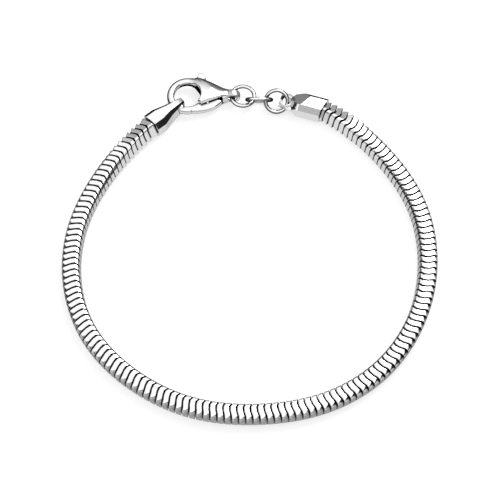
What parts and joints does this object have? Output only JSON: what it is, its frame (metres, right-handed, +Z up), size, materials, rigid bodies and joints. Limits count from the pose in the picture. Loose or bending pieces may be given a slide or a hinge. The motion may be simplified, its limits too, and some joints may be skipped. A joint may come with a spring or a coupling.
{
  "type": "square snake chain bracelet with lobster clasp",
  "caption": "Closed bracelet of square snake chain with faceted end caps, a lobster clasp with a turning lever, and round jump rings.",
  "frame": {"origin": "middle of the bounding box, on the surface that the bracelet lies on", "axes": "+Z up from the surface, +Y towards the clasp, +X towards the end of the clasp that has the jump rings"},
  "size_m": [0.0637, 0.0675, 0.0045],
  "materials": {
    "silver_chain": "polished silver, near black in the seams between the plates",
    "silver_findings": "polished silver"
  },
  "bodies": {
    "bracelet": {"chain": "silver_chain", "end_cap_left": "silver_findings", "end_cap_right": "silver_findings", "clasp_body": "silver_findings", "jump_ring_clasp": "silver_findings", "jump_ring_middle": "silver_findings", "jump_ring_cap": "silver_findings"},
    "lever": {"clasp_lever": "silver_findings"}
  },
  "joints": [
    {"name": "lever_hinge", "type": "hinge", "parent": "bracelet", "child": "lever", "pos_m": [-0.00748, 0.02781, 0.0016], "axis": [0, 0, -1], "range_deg": [0, 25], "stiffness_Nm_per_rad": 0.02, "springref_deg": -11.46}
  ]
}
